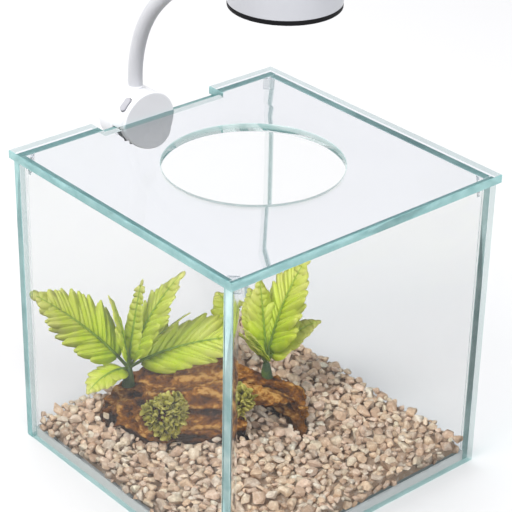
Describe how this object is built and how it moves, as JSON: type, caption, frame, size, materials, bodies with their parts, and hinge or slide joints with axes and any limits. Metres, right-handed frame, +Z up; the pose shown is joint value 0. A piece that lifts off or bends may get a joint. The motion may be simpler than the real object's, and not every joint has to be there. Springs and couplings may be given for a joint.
{
  "type": "glass aquarium tank",
  "caption": "Cube glass aquarium with a lift-off glass lid, a round feeding hole, a clip-on LED lamp on a bent arm, gravel, a resin log and plastic ferns.",
  "frame": {"origin": "centre of the tank's underside, on the surface it stands on", "axes": "+Z up; +Y towards the pane that carries the lamp clip; +X along that pane"},
  "size_m": [0.153, 0.1643, 0.2608],
  "materials": {
    "clear_glass": "polished",
    "lid_glass": "polished",
    "silicone": "satin clear silicone",
    "gravel": "matte",
    "resin_log": "painted resin",
    "moss": "matte",
    "fern_plastic": "satin",
    "clear_plastic": "polished",
    "white_plastic": "gloss",
    "button_plastic": "satin",
    "grip_rubber": "matte",
    "screw_steel": "plain",
    "inlet_plastic": "satin",
    "switch_plastic": "satin",
    "core_steel": "plain",
    "sleeve_silicone": "satin",
    "lead_plastic": "satin",
    "bezel_plastic": "gloss",
    "diffuser_plastic": "frosted",
    "spreader_aluminium": "satin",
    "board_mask": "solder mask",
    "led_phosphor": "satin"
  },
  "bodies": {
    "tank": {"base_pane": "clear_glass", "front_pane": "clear_glass", "rear_pane": "clear_glass", "left_pane": "clear_glass", "right_pane": "clear_glass", "seam_front_left": "silicone", "seam_front_right": "silicone", "seam_rear_left": "silicone", "seam_rear_right": "silicone", "base_seam": "silicone", "gravel_bed": "gravel", "driftwood_log": "resin_log", "moss_tuft_left": "moss", "moss_tuft_right": "moss", "fern_left": "fern_plastic", "fern_middle": "fern_plastic", "fern_right": "fern_plastic", "clip_housing": "white_plastic", "clip_front_cap": "white_plastic", "clip_inner_pad": "grip_rubber", "clip_outer_pad": "grip_rubber", "clip_rear_cover": "white_plastic", "cover_screws": "screw_steel", "power_inlet": "inlet_plastic", "switch_body": "switch_plastic"},
    "lid": {"lid_glass": "lid_glass", "lid_corner_blocks": "clear_plastic"},
    "button": {"switch_button": "button_plastic"},
    "lamp_arm": {"arm_pivot": "screw_steel", "pivot_ring": "screw_steel", "arm_core": "core_steel", "arm_sleeve": "sleeve_silicone", "arm_lead": "lead_plastic", "arm_eye": "white_plastic"},
    "lamp_head": {"head_bracket": "white_plastic", "tilt_pin": "screw_steel", "head_shell": "white_plastic", "bezel_ring": "bezel_plastic", "diffuser": "diffuser_plastic", "heat_spreader": "spreader_aluminium", "led_board": "board_mask", "led_chips": "led_phosphor", "board_screws": "screw_steel"}
  },
  "joints": [
    {"name": "lid_lift", "type": "slide", "parent": "tank", "child": "lid", "axis": [0, 0, 1], "range_m": [0, 0.03]},
    {"name": "switch_press", "type": "slide", "parent": "tank", "child": "button", "axis": [0.7071, 0, -0.7071], "range_m": [0, 0.0008], "stiffness_N_per_m": 600, "springref_m": -0.0008},
    {"name": "arm_swivel", "type": "hinge", "parent": "tank", "child": "lamp_arm", "pos_m": [-0.006, 0.0768, 0.16], "axis": [0, 0, 1], "range_deg": [-60, 60]},
    {"name": "head_tilt", "type": "hinge", "parent": "lamp_arm", "child": "lamp_head", "pos_m": [-0.006, 0.00468, 0.2418], "axis": [1, 0, 0], "range_deg": [-20, 25]}
  ]
}
